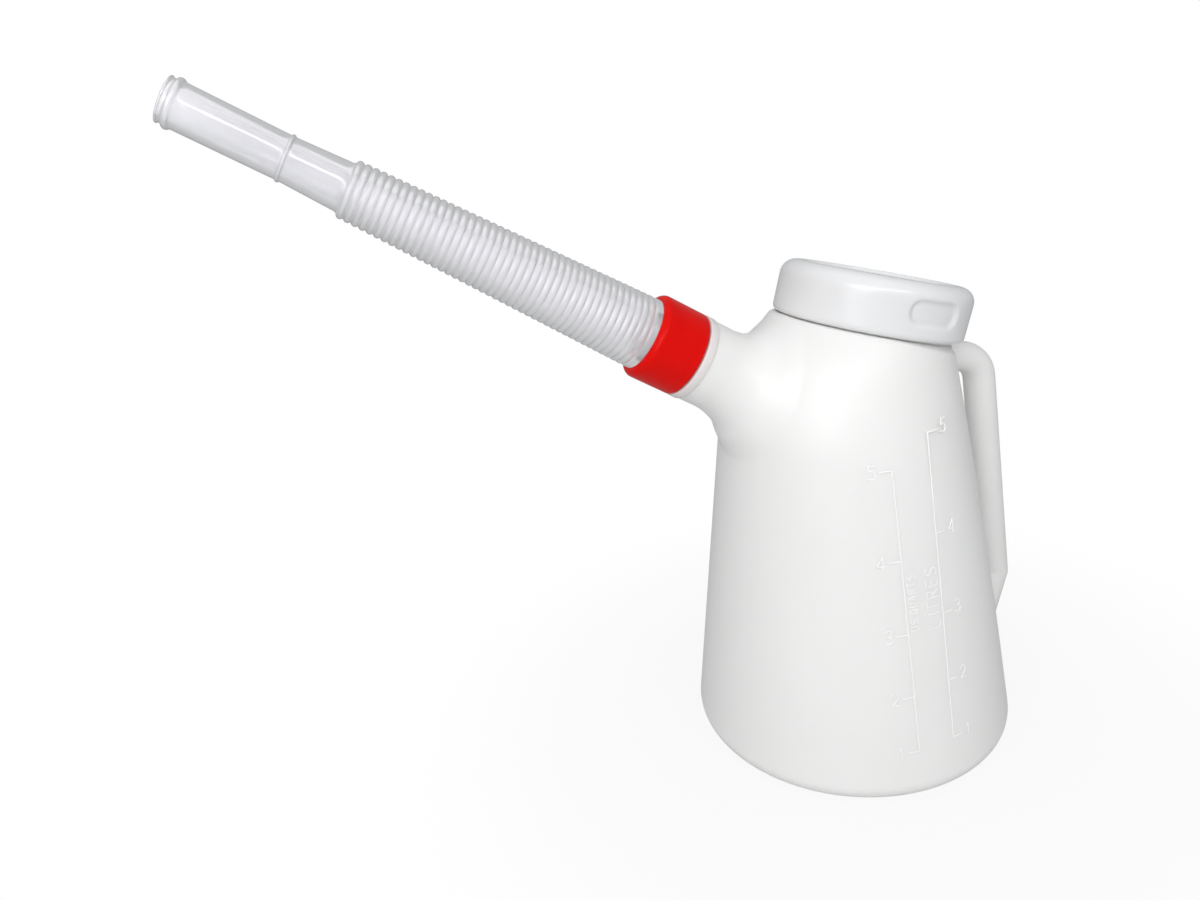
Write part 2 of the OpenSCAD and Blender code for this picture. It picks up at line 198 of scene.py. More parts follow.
def body_field(p):
    """Distance to the outside of the blown body, without its mouth and neck ends, negative inside."""
    rho = np.hypot(p[:, 0], p[:, 1])
    side = (rho - (WALL_R0 - p[:, 2] * tan(TAPER))) * cos(TAPER)
    t = np.clip((STAND_R + 1.5 - rho) / 5.0, 0, 1)
    under = BASE_RISE * t * t * (3 - 2 * t) - p[:, 2]
    wall = round_edge(side, under, FOOT_ROUND, -sin(TAPER))
    m = (p - MOUTH) @ MOUTH_AXES.T
    mr = np.hypot(m[:, 0], m[:, 1])
    lean = (mr - (LEDGE_R - m[:, 2] * tan(SHOULDER))) * cos(SHOULDER)
    shoulder = round_edge(lean, m[:, 2], LEDGE_ROUND, sin(SHOULDER))
    solid = rounded_meet(wall, shoulder, SHOULDER_ROUND)
    # finger channel behind the bar
    x0 = WALL_R0 - CHANNEL_LOW * tan(TAPER) - CHANNEL_D + CHANNEL_R
    start = np.array([x0, 0, CHANNEL_LOW])
    end = np.array([x0 - (CHANNEL_HIGH - CHANNEL_LOW) * tan(TAPER), 0, CHANNEL_HIGH])
    channel = segment(p, start, end, CHANNEL_R, CHANNEL_R)
    solid = rounded_meet(solid, -channel, CHANNEL_ROUND)
    # neck and bell
    n = (p - NECK) @ NECK_AXES.T
    nr = np.hypot(n[:, 0], n[:, 1])
    tr = NECK_R + BELL_ROUND * (1 - cos(BELL))
    ts = BELL_START - BELL_ROUND * sin(BELL)
    tube = np.maximum(nr - NECK_R, -n[:, 2])
    flank = np.maximum((nr - (tr + (ts - n[:, 2]) * tan(BELL))) * cos(BELL), BELL_LOW - n[:, 2])
    bell = rounded_join(tube, flank, BELL_ROUND)
    # the fillet between bell and wall runs out where the bell ends inside the body
    near = np.clip((n[:, 2] - FILLET_FROM) / FILLET_OVER, 0, 1)
    solid = rounded_join(solid, bell, FILLET_MIN + FILLET_MORE * near * near * (3 - 2 * near))
    return rounded_join(solid, handle_field(p), HANDLE_FILLET)


def outer_field(p):
    """The body's outside with its rim wall, which runs on past the rim to be trimmed there."""
    m = (p - MOUTH) @ MOUTH_AXES.T
    rim = np.maximum(np.hypot(m[:, 0], m[:, 1]) - MOUTH_R, -5 - m[:, 2])
    return rounded_join(body_field(p), rim, RIM_ROUND)


def inner_field(p):
    """The cavity: the outside set in by the wall, with the bore of the mouth."""
    m = (p - MOUTH) @ MOUTH_AXES.T
    bore = np.maximum(np.hypot(m[:, 0], m[:, 1]) - (MOUTH_R - WALL), -9 - m[:, 2])
    return np.minimum(body_field(p) + WALL, bore)


def slope_of(field, p, h=0.02):
    """Gradient of a field by central differences."""
    g = np.empty_like(p)
    for k in range(3):
        e = np.zeros(3)
        e[k] = h
        g[:, k] = (field(p + e) - field(p - e)) / (2 * h)
    return g


def skin(field, low, high, step, trims):
    """Closed skin of a field: one point in each grid cell that the surface crosses, quads across each crossed
    grid edge, and each point then moved down the field's slope until it lies on the surface. trims are planes
    (origin, axis, limit): what lies beyond is left out, and the edge is laid on the plane."""
    axes = [np.arange(low[k], high[k] + step, step) for k in range(3)]
    shape = [len(a) for a in axes]
    value = np.empty(shape, np.float32)
    for i, x in enumerate(axes[0]):
        y, z = np.meshgrid(axes[1], axes[2], indexing="ij")
        value[i] = field(np.stack([np.full(y.size, x), y.ravel(), z.ravel()], -1)).reshape(y.shape)
    inside = value < 0
    corners = [inside[i:shape[0] - 1 + i, j:shape[1] - 1 + j, k:shape[2] - 1 + k]
               for i in (0, 1) for j in (0, 1) for k in (0, 1)]
    crossed = np.logical_or.reduce(corners) & ~np.logical_and.reduce(corners)
    number = np.full(crossed.shape, -1, np.int64)
    cells = np.argwhere(crossed)
    number[tuple(cells.T)] = np.arange(len(cells))
    points = np.array(low) + (cells + 0.5) * step
    quads = []
    for k in range(3):
        a, b = [(1, 2), (2, 0), (0, 1)][k]
        lo = np.take(inside, range(shape[k] - 1), axis=k)
        hi = np.take(inside, range(1, shape[k]), axis=k)
        for sign, here in ((1, lo & ~hi), (-1, hi & ~lo)):
            at = np.argwhere(here)
            at = at[(at[:, a] > 0) & (at[:, b] > 0) & (at[:, a] < shape[a] - 1) & (at[:, b] < shape[b] - 1)]
            ring = []
            for da, db in ((1, 1), (0, 1), (0, 0), (1, 0)):
                c = at.copy()
                c[:, a] -= da
                c[:, b] -= db
                ring.append(number[tuple(c.T)])
            quad = np.stack(ring, -1)
            quads.append(quad if sign > 0 else quad[:, ::-1])
    quads = np.concatenate(quads)
    for _ in range(5):
        g = slope_of(field, points)
        d = field(points)[:, None]
        move = d * g / np.maximum((g * g).sum(1, keepdims=True), 0.05)
        size = np.linalg.norm(move, axis=1, keepdims=True)
        points = points - move * np.minimum(1, step / np.maximum(size, 1e-9))
    for origin, axis, limit in trims:
        s = (points - origin) @ axis
        keep = (s[quads] < limit).any(1)
        quads = quads[keep]
        over = np.maximum(s - limit, 0)
        points = points - over[:, None] * axis
    used = np.unique(quads)
    again = np.full(len(points), -1, np.int64)
    again[used] = np.arange(len(used))
    points, quads = points[used], again[quads]
    g = slope_of(field, points)
    return points, quads, g / np.maximum(np.linalg.norm(g, axis=1, keepdims=True), 1e-9)


# ---------------------------------------------------------------- materials
def new_material(name):
    m = bpy.data.materials.new(name)
    m.use_nodes = True
    nt = m.node_tree
    nt.nodes.clear()
    out = nt.nodes.new("ShaderNodeOutputMaterial")
    shader = nt.nodes.new("ShaderNodeBsdfPrincipled")
    nt.links.new(shader.outputs["BSDF"], out.inputs["Surface"])
    return m, nt, shader


def noise(nt, scale, detail=3.0, stretch=(1, 1, 1)):
    """Noise on object coordinates, stretched along the axes."""
    co = nt.nodes.new("ShaderNodeTexCoord")
    mp = nt.nodes.new("ShaderNodeMapping")
    mp.inputs["Scale"].default_value = stretch
    tx = nt.nodes.new("ShaderNodeTexNoise")
    tx.inputs["Scale"].default_value = scale
    tx.inputs["Detail"].default_value = detail
    nt.links.new(co.outputs["Object"], mp.inputs["Vector"])
    nt.links.new(mp.outputs["Vector"], tx.inputs["Vector"])
    return tx.outputs["Fac"]


def ramp(nt, fac, low, high, start=0.3, stop=0.7):
    """A colour that runs between two as a value goes from start to stop."""
    r = nt.nodes.new("ShaderNodeValToRGB")
    r.color_ramp.elements[0].position = start
    r.color_ramp.elements[1].position = stop
    r.color_ramp.elements[0].color = (*low, 1)
    r.color_ramp.elements[1].color = (*high, 1)
    nt.links.new(fac, r.inputs["Fac"])
    return r.outputs["Color"]


def span(nt, fac, low, high):
    """A value mapped from 0..1 to low..high."""
    m = nt.nodes.new("ShaderNodeMapRange")
    m.inputs["To Min"].default_value = low
    m.inputs["To Max"].default_value = high
    nt.links.new(fac, m.inputs["Value"])
    return m.outputs["Result"]


def bump(nt, shader, height, strength, distance):
    b = nt.nodes.new("ShaderNodeBump")
    b.inputs["Strength"].default_value = strength
    b.inputs["Distance"].default_value = distance
    nt.links.new(height, b.inputs["Height"])
    nt.links.new(b.outputs["Normal"], shader.inputs["Normal"])


def blown_plastic(name, low, high, deep=0.35):
    """Natural polyethylene of the body: milky, faintly mottled between two shades, soft sheen.
    deep is the share of light that goes in and comes out again."""
    m, nt, s = new_material(name)
    cloud = noise(nt, 16.0, 3.0, (1, 1, 0.5))
    nt.links.new(ramp(nt, cloud, low, high), s.inputs["Base Color"])
    nt.links.new(span(nt, noise(nt, 90.0, 4.0), 0.36, 0.44), s.inputs["Roughness"])
    s.inputs["Subsurface Weight"].default_value = deep
    s.inputs["Subsurface Radius"].default_value = (1.0, 0.95, 0.85)
    s.inputs["Subsurface Scale"].default_value = 0.004
    s.inputs["IOR"].default_value = 1.5
    s.inputs["Specular IOR Level"].default_value = 0.45
    bump(nt, s, noise(nt, 14.0, 2.0, (1, 1, 0.35)), 0.10, 0.0008)
    return m


def lid_plastic():
    """Lid: milky, slightly bluish, smooth and a little glossier than the body."""
    m, nt, s = new_material("natural_lid")
    cloud = noise(nt, 22.0, 2.0)
    nt.links.new(ramp(nt, cloud, (0.80, 0.81, 0.815), (0.83, 0.838, 0.842)), s.inputs["Base Color"])
    nt.links.new(span(nt, noise(nt, 120.0, 3.0), 0.20, 0.26), s.inputs["Roughness"])
    s.inputs["Subsurface Weight"].default_value = 0.35
    s.inputs["Subsurface Radius"].default_value = (0.9, 0.95, 1.0)
    s.inputs["Subsurface Scale"].default_value = 0.004
    s.inputs["Specular IOR Level"].default_value = 0.5
    bump(nt, s, noise(nt, 12.0, 1.0), 0.06, 0.0006)
    return m


def red_plastic():
    """Ring nut: deep glossy red with faint mould marks."""
    m, nt, s = new_material("red_nut")
    cloud = noise(nt, 60.0, 4.0)
    nt.links.new(ramp(nt, cloud, (0.70, 0.003, 0.0015), (0.76, 0.004, 0.002)), s.inputs["Base Color"])
    nt.links.new(span(nt, noise(nt, 150.0, 4.0), 0.30, 0.38), s.inputs["Roughness"])
    s.inputs["Specular IOR Level"].default_value = 0.09
    bump(nt, s, noise(nt, 70.0, 2.0), 0.10, 0.0004)
    return m


def spout_plastic():
    """Spout: translucent polyethylene, clear enough to see its far wall as a haze."""
    m, nt, s = new_material("natural_spout")
    cloud = noise(nt, 30.0, 2.0)
    nt.links.new(ramp(nt, cloud, (0.86, 0.86, 0.885), (0.90, 0.90, 0.92)), s.inputs["Base Color"])
    nt.links.new(span(nt, noise(nt, 100.0, 2.0), 0.10, 0.15), s.inputs["Roughness"])
    s.inputs["Transmission Weight"].default_value = 0.70
    s.inputs["IOR"].default_value = 1.45
    s.inputs["Specular IOR Level"].default_value = 0.75
    bump(nt, s, noise(nt, 200.0, 2.0), 0.05, 0.0003)
    return m


BODY_MAT = blown_plastic("natural_body", (0.865, 0.861, 0.848), (0.885, 0.882, 0.871))
# the raised scale is the body's own plastic; its whiter colour with no light let in is a painted highlight on
# the ridges
RELIEF_HIGHLIGHT_MAT = blown_plastic("relief_painted_highlight", (0.950, 0.948, 0.940), (0.970, 0.968, 0.962), 0.0)
# the neck ring is the body's own plastic; its darker, pinkish colour is painted shade where it sits behind
# the red nut
NECK_SHADE_MAT = blown_plastic("neck_painted_shade", (0.80, 0.755, 0.745), (0.82, 0.78, 0.77))
LID_MAT, RED_MAT, SPOUT_MAT = lid_plastic(), red_plastic(), spout_plastic()


# ---------------------------------------------------------------- the body
def build_body():
    """Outer and inner skins of the blown body, with the lip of its mouth and the end of its neck."""
    step = 2.0
    mouth_axis, neck_axis = MOUTH_AXES[2], NECK_AXES[2]
    trims = [(MOUTH, mouth_axis, MOUTH_H - 1.2), (NECK, neck_axis, RING_FRONT - RING_WIDTH + 1.0)]
    box = (-122.0, -110.0, -4.0), (130.0, 110.0, 316.0)
    points, quads, normals = skin(outer_field, *box, step, trims)
    p2, q2, n2 = skin(inner_field, *box, step, trims)
    lip = np.concatenate([arc(MOUTH_R - 0.9, MOUTH_H - 0.9, 0.93, 0, 180, 9),
                          np.array([[MOUTH_R - 1.83, MOUTH_H - 3.0], [MOUTH_R + 0.03, MOUTH_H - 3.0]])])
    p3, q3 = turned(lip, 160, MOUTH_AXES, MOUTH)
    r = NECK_R + RING_STEP
    back, front = RING_FRONT - RING_WIDTH, RING_FRONT
    neck_end = np.concatenate([
        np.array([[NECK_R - 0.6, back]]), arc(r - 0.5, back + 0.5, 0.5, -90, 0, 5),
        arc(r - 0.7, front - 0.7, 0.7, 0, 90, 6),
        np.array([[SPIGOT_R, front], [SPIGOT_R, SPIGOT_END - 0.5]]),
        arc(SPIGOT_R - 0.5, SPIGOT_END - 0.5, 0.5, 20, 90, 4),
        np.array([[SPIGOT_R - WALL, SPIGOT_END], [SPIGOT_R - WALL, front - WALL],
                  [NECK_R - WALL, front - WALL], [NECK_R - WALL, back]])])
    p4, q4 = turned(neck_end, 128, NECK_AXES, NECK)
    body = make_piece("jug_shell", points, quads, BODY_MAT, "jug", normals=normals)
    make_piece("jug_inside_skin", p2, q2[:, ::-1], BODY_MAT, "jug", normals=-n2)
    rim = make_piece("mouth_lip", p3, q3, BODY_MAT, "jug")
    # the neck ring's darker material is painted shade, not a different plastic
    neck = make_piece("neck_ring", p4, q4, NECK_SHADE_MAT, "jug")
    for o in (rim, neck):
        sharpen(o, 40)
    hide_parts("jug_body")


def sharpen(obj, degrees):
    """Marks edges steeper than an angle as sharp, so that steps stay crisp under smooth shading."""
    obj.data.set_sharp_from_angle(angle=radians(degrees))


# ---------------------------------------------------------------- the raised scale
STROKES = {
    "1": [[(0.30, 0.78), (0.55, 1.0), (0.55, 0.0)]],
    "2": [[(0.05, 0.78), (0.15, 0.94), (0.40, 1.0), (0.68, 0.95), (0.82, 0.76), (0.74, 0.55),
           (0.05, 0.0), (0.85, 0.0)]],
    "3": [[(0.08, 0.92), (0.40, 1.0), (0.72, 0.94), (0.80, 0.75), (0.66, 0.57), (0.38, 0.53)],
          [(0.38, 0.53), (0.72, 0.46), (0.85, 0.26), (0.72, 0.06), (0.38, 0.0), (0.05, 0.10)]],
    "4": [[(0.66, 0.0), (0.66, 1.0), (0.05, 0.28), (0.90, 0.28)]],
    "5": [[(0.80, 1.0), (0.20, 1.0), (0.14, 0.56), (0.42, 0.64), (0.72, 0.56), (0.85, 0.32),
           (0.70, 0.06), (0.38, 0.0), (0.08, 0.10)]],
    "L": [[(0.12, 1.0), (0.12, 0.0), (0.78, 0.0)]],
    "I": [[(0.45, 1.0), (0.45, 0.0)]],
    "T": [[(0.05, 1.0), (0.90, 1.0)], [(0.47, 1.0), (0.47, 0.0)]],
    "R": [[(0.12, 0.0), (0.12, 1.0), (0.60, 1.0), (0.82, 0.88), (0.82, 0.64), (0.60, 0.52), (0.12, 0.52)],
          [(0.50, 0.52), (0.85, 0.0)]],
    "E": [[(0.80, 1.0), (0.12, 1.0), (0.12, 0.0), (0.80, 0.0)], [(0.12, 0.52), (0.66, 0.52)]],
    "S": [[(0.82, 0.88), (0.60, 1.0), (0.28, 1.0), (0.10, 0.84), (0.16, 0.62), (0.72, 0.42),
           (0.85, 0.20), (0.66, 0.02), (0.30, 0.0), (0.08, 0.12)]],
    "U": [[(0.12, 1.0), (0.12, 0.24), (0.30, 0.02), (0.65, 0.02), (0.83, 0.24), (0.83, 1.0)]],
    "Q": [[(0.45, 1.0), (0.15, 0.86), (0.08, 0.5), (0.15, 0.14), (0.45, 0.0), (0.78, 0.14),
           (0.86, 0.5), (0.78, 0.86), (0.45, 1.0)], [(0.58, 0.24), (0.90, -0.06)]],
    "A": [[(0.02, 0.0), (0.47, 1.0), (0.92, 0.0)], [(0.18, 0.34), (0.76, 0.34)]],
    " ": [],
}
LITRE_X, QUART_X, SCALE_LEAN, LINE_W, MARK_LEN, LIFT = 12.6, -10.2, -1.5, 1.1, 6.5, 0.26
LITRE_Z = [35.2, 71.9, 113.0, 160.5, 217.5]
QUART_Z = [33.4, 67.8, 106.1, 149.7, 201.1]
MID_Z = 124.0
MARK_LIFT, WORD_LIFT, FIGURE_W, WORD_W = LIFT - 0.02, LIFT - 0.04, 1.0, 0.8


def on_wall(x, z, lift):
    """A point x sideways and z high on the scale side, lifted from the wall by a distance.
    The scale leans, so x moves with height, and y follows the wall's circle at that height."""
    x = x + SCALE_LEAN * (z - MID_Z) / 100
    r = WALL_R0 - z * tan(TAPER)
    y = -np.sqrt(np.maximum(r * r - x * x, 0))
    normal = np.stack([x / r * cos(TAPER), y / r * cos(TAPER), np.full_like(x, sin(TAPER))], -1)
    return np.stack([x, y, z], -1) + normal * np.asarray(lift)[..., None]


def ridge(line, width, height, gap=0.8):
    """A soft ridge along a line of (x, z) on the wall: a half-round section of seven points carried along the
    line, as wide and as high as asked, sunk a little into the wall and closed at its ends."""
    line = dense(np.array(line, float), gap)
    tangent = np.gradient(line, axis=0)
    tangent /= np.maximum(np.linalg.norm(tangent, axis=1, keepdims=True), 1e-9)
    side = np.stack([-tangent[:, 1], tangent[:, 0]], -1)
    ends = line[[0, -1]] + np.array([-1, 1])[:, None] * tangent[[0, -1]] * width * 0.4
    line = np.concatenate([ends[:1], line, ends[1:]])
    side = np.concatenate([side[:1], side, side[-1:]])
    fall = np.ones(len(line))
    fall[[0, -1]] = 0.0
    t = np.radians(np.linspace(0, 180, 7))
    across = np.cos(t) * width / 2
    up = np.sin(t) ** 1.3 * (height + 0.15) - 0.15
    flat = line[:, None, :] + side[:, None, :] * across[None, :, None] * (0.45 + 0.55 * fall)[:, None, None]
    lift = np.where(fall[:, None] > 0, up[None, :], np.minimum(up[None, :], -0.05))
    p = on_wall(flat[..., 0].ravel(), flat[..., 1].ravel(), lift.ravel())
    faces = grid_faces(len(line), 7, close_columns=False)
    return p, faces


def write(text, x, z, high, wide, turn=0.0, gap=0.18):
    """Strokes of a row of characters from a corner, each high by wide, turned by an angle in degrees."""
    out, pen = [], 0.0
    c, s = cos(radians(turn)), sin(radians(turn))
    for ch in text:
        for stroke in STROKES[ch]:
            a = np.array(stroke) * (wide, high) + (pen, 0)
            out.append(np.stack([x + a[:, 0] * c - a[:, 1] * s, z + a[:, 0] * s + a[:, 1] * c], -1))
        pen += wide * (1 + gap) * (0.62 if ch in "I1" else 0.5 if ch == " " else 1.0)
    return out


def build_scale():
    """The raised lines, marks, figures and words of the scale."""
    lines = []
    lines.append((np.array([[LITRE_X, LITRE_Z[0]], [LITRE_X, LITRE_Z[-1]]]), LINE_W, LIFT))
    lines.append((np.array([[QUART_X, QUART_Z[0]], [QUART_X, QUART_Z[-1]]]), LINE_W, LIFT))
    for i in range(5):
        for x, end, z in ((LITRE_X, LITRE_X + MARK_LEN, LITRE_Z[i]),
                          (QUART_X, QUART_X - MARK_LEN, QUART_Z[i])):
            lines.append((np.array([[x, z], [end, z]]), LINE_W, MARK_LIFT))
        for s in write(str(i + 1), LITRE_X + MARK_LEN + 2.6, LITRE_Z[i] - 2.6, 7.6, 5.0):
            lines.append((s, FIGURE_W, LIFT))
        for s in write(str(i + 1), QUART_X - MARK_LEN - 6.8, QUART_Z[i] - 3.8, 7.8, 5.0):
            lines.append((s, FIGURE_W, LIFT))
    words = (("LITRES", LITRE_X - 2.2, 105.6, 7.6, 5.5), ("US QUARTS", QUART_X + 6.6, 107.5, 4.6, 3.2))
    for text, x, z, high, wide in words:
        for s in write(text, x, z, high, wide, 90.0, 0.26):
            lines.append((s, WORD_W, WORD_LIFT))
    points, faces, first = [], [], 0
    for line, width, height in lines:
        p, f = ridge(line, width, height)
        points.append(p)
        faces.append(f + first)
        first += len(p)
    points, faces = np.concatenate(points), np.concatenate(faces)
    # the scale's whiter material is a painted highlight on the same plastic as the wall
    make_piece("scale_relief", points, faces, RELIEF_HIGHLIGHT_MAT, "jug")


# ---------------------------------------------------------------- the lid
def build_lid():
    """The lid turned from one closed section, with its wall pushed in at two finger recesses."""
    wall, h = LID_WALL, LID_H
    outer = np.concatenate([
        arc(LID_R - LID_HEM, LID_HEM, LID_HEM, -75, 0, 8),
        arc(LID_R - LID_ROUND, h - LID_ROUND, LID_ROUND, 0, 90, 16),
        arc(44.9, h - 0.9, 0.9, 90, 180, 5), np.array([[43.6, h - 2.1 + 0.35], [42.6, h - 2.1]]),
        np.array([[30, h - 2.05], [15, h - 1.95], [0.0, h - 1.9]])])
    inner = LID_R - wall
    band = MOUTH_R + 0.1
    under = np.array([[0.0, RIM_UNDER], [46.4, RIM_UNDER], [51.0, 26.4], [52.6, 25.0], [inner, 22.0],
                      [inner, 9.2], [band, 9.0], [band, 5.0], [inner, 4.6], [inner, 0.6]])
    profile = np.concatenate([dense(outer, 1.3), dense(under, 2.4)])
    turn = radians(RECESS_TURN - 90.0)

    def recess(r, z, a):
        """A rounded slot: depth times a smooth edge of the distance to the slot's middle line."""
        push = np.zeros_like(r)
        for middle in (turn, turn + pi):
            d = (a - middle + pi) % (2 * pi) - pi
            x = np.abs(d * LID_R) - (RECESS_W - RECESS_H) / 2
            dist = np.hypot(np.maximum(x, 0), z - RECESS_Z) - RECESS_H / 2
            edge = np.clip(0.5 - dist / RECESS_SOFT, 0, 1)
            push = push + RECESS_D * edge * edge * (3 - 2 * edge)
        return np.where(r > 51.5, r - push, r)

    p, f = turned(profile, 320, MOUTH_AXES, MOUTH + MOUTH_AXES[2] * LID_GAP, recess)
    lid = make_piece("lid_cap", p, f, LID_MAT, "lid")
    sharpen(lid, 50)
    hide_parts("lid")


# ---------------------------------------------------------------- the ring nut
def build_nut():
    """The ring nut turned from one closed section with rounded ends."""
    s0, s1 = NUT_BACK, NUT_BACK + NUT_LEN
    profile = np.concatenate([
        arc(NUT_R - 1.4, s0 + 1.4, 1.4, -90, 0, 7), arc(NUT_R - 4.0, s1 - 4.0, 4.0, 0, 90, 14),
        arc(NUT_HOLE + 0.6, s1 - 0.6, 0.6, 90, 180, 5),
        np.array([[NUT_HOLE, NUT_LIP_AT], [NUT_BORE, NUT_LIP_AT], [NUT_BORE, s0 + 0.4],
                  [NUT_BORE + 0.4, s0]])])

    def slack(r, z, a):
        """Three shallow swells round the outside, r + 0.04 sin 3a, as a moulding draws in."""
        return r + 0.04 * np.sin(3 * a) * (r > 23)

    p, f = turned(dense(profile, 1.2), 160, NECK_AXES, NECK, slack)
    nut = make_piece("red_nut", p, f, RED_MAT, "nut")
    sharpen(nut, 45)
    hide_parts("ring_nut")


# ---------------------------------------------------------------- the spout
def build_spout():
    """The whole spout as one moulding: flange, band, ribs, tube, ring, bead and lip, turned from one closed
    section. Each rib is an arc, and the mould's parting lines lift a small nub on each rib."""
    per = 9
    t = (np.arange(RIBS * per) + 0.5) / per
    number = np.floor(t)
    crest = HOSE_R1 + (HOSE_R2 - HOSE_R1) * number / (RIBS - 1)
    round_r = PITCH * 0.52
    off = (t - number - 0.5) * PITCH
    ribs = np.stack([crest - round_r + np.sqrt(round_r ** 2 - off ** 2), RIB_FIRST + t * PITCH], -1)
    inner_t = (np.arange(RIBS * 5) + 0.5) / 5
    inner_n = np.floor(inner_t)
    inner_off = (inner_t - inner_n - 0.5) * PITCH
    inner_crest = HOSE_R1 + (HOSE_R2 - HOSE_R1) * inner_n / (RIBS - 1) - SPOUT_WALL
    inner_round = round_r * 1.15
    inner_r = inner_crest - inner_round + np.sqrt(inner_round ** 2 - inner_off ** 2)
    inner = np.stack([inner_r, RIB_FIRST + inner_t * PITCH], -1)[::-1]
    end = TUBE_END
    flange = np.array([[FLANGE_IN, 83.25], [21.6, 83.25], [21.8, 83.5], [21.8, 85.0], [21.6, 85.24],
                       [HOSE_R1, 85.24]])
    band = np.array([[HOSE_R1, 90.6], [20.2, 91.8], [19.6, RIB_FIRST]])
    tube = np.concatenate([
        np.array([[13.0, HOSE_END + 0.2], [12.5, HOSE_END + 1.2], [11.15, TUBE_RING_AT - 1.6]]),
        arc(10.95, TUBE_RING_AT, 1.0, -70, 70, 9),
        np.array([[TUBE_R2, TUBE_RING_AT + 1.5], [TUBE_R2, end - 7.0]]),
        arc(TUBE_R2 - 0.8, end - 4.6, 1.9, -55, 62, 12),
        np.array([[TUBE_R2 - 0.5, end - 2.5], [TUBE_R2 - 0.5, end - 1.25]]),
        arc(TUBE_R2 - 0.45, end - 0.55, 0.55, -80, 90, 9)])
    bore = np.array([[TUBE_R2 - 1.0, end - 0.15], [TUBE_BORE, end - 0.6], [TUBE_BORE, TUBE_RING_AT],
                     [TUBE_R1 - SPOUT_WALL, HOSE_END + 0.5]])
    back = np.array([[FLANGE_IN, RIB_FIRST - 1.0], [FLANGE_IN, 84.0]])
    profile = np.concatenate([dense(flange, 2.0), dense(band, 1.5), ribs, dense(tube, 2.2), dense(bore, 4.0),
                              inner, dense(back, 3.0)])

    def nubs(r, z, a):
        """Lift along the two parting lines, more on the ribs than on the smooth tube."""
        lift = np.zeros_like(r)
        for middle in NUB_TURNS:
            d = ((a - middle + pi) % (2 * pi) - pi) * r
            lift = lift + np.exp(-(d / 0.95) ** 2)
        on_ribs = (z > RIB_FIRST) & (z < HOSE_END)
        on_tube = (z >= HOSE_END + 1) & (r > 10.6)
        crests = HOSE_R1 + (HOSE_R2 - HOSE_R1) * (z - RIB_FIRST) / (HOSE_END - RIB_FIRST)
        outside = np.abs(r - crests) < 0.75
        return r + np.where(on_ribs & outside, 0.45 * lift, 0) + np.where(on_tube, 0.12 * lift, 0)

    p, f = turned(profile, 112, NECK_AXES, NECK, nubs)
    spout = make_piece("spout_moulding", p, f, SPOUT_MAT, None)
    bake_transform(spout)
    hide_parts("spout_hose", "spout_tube")


build_body()
build_scale()
build_lid()
build_nut()
build_spout()


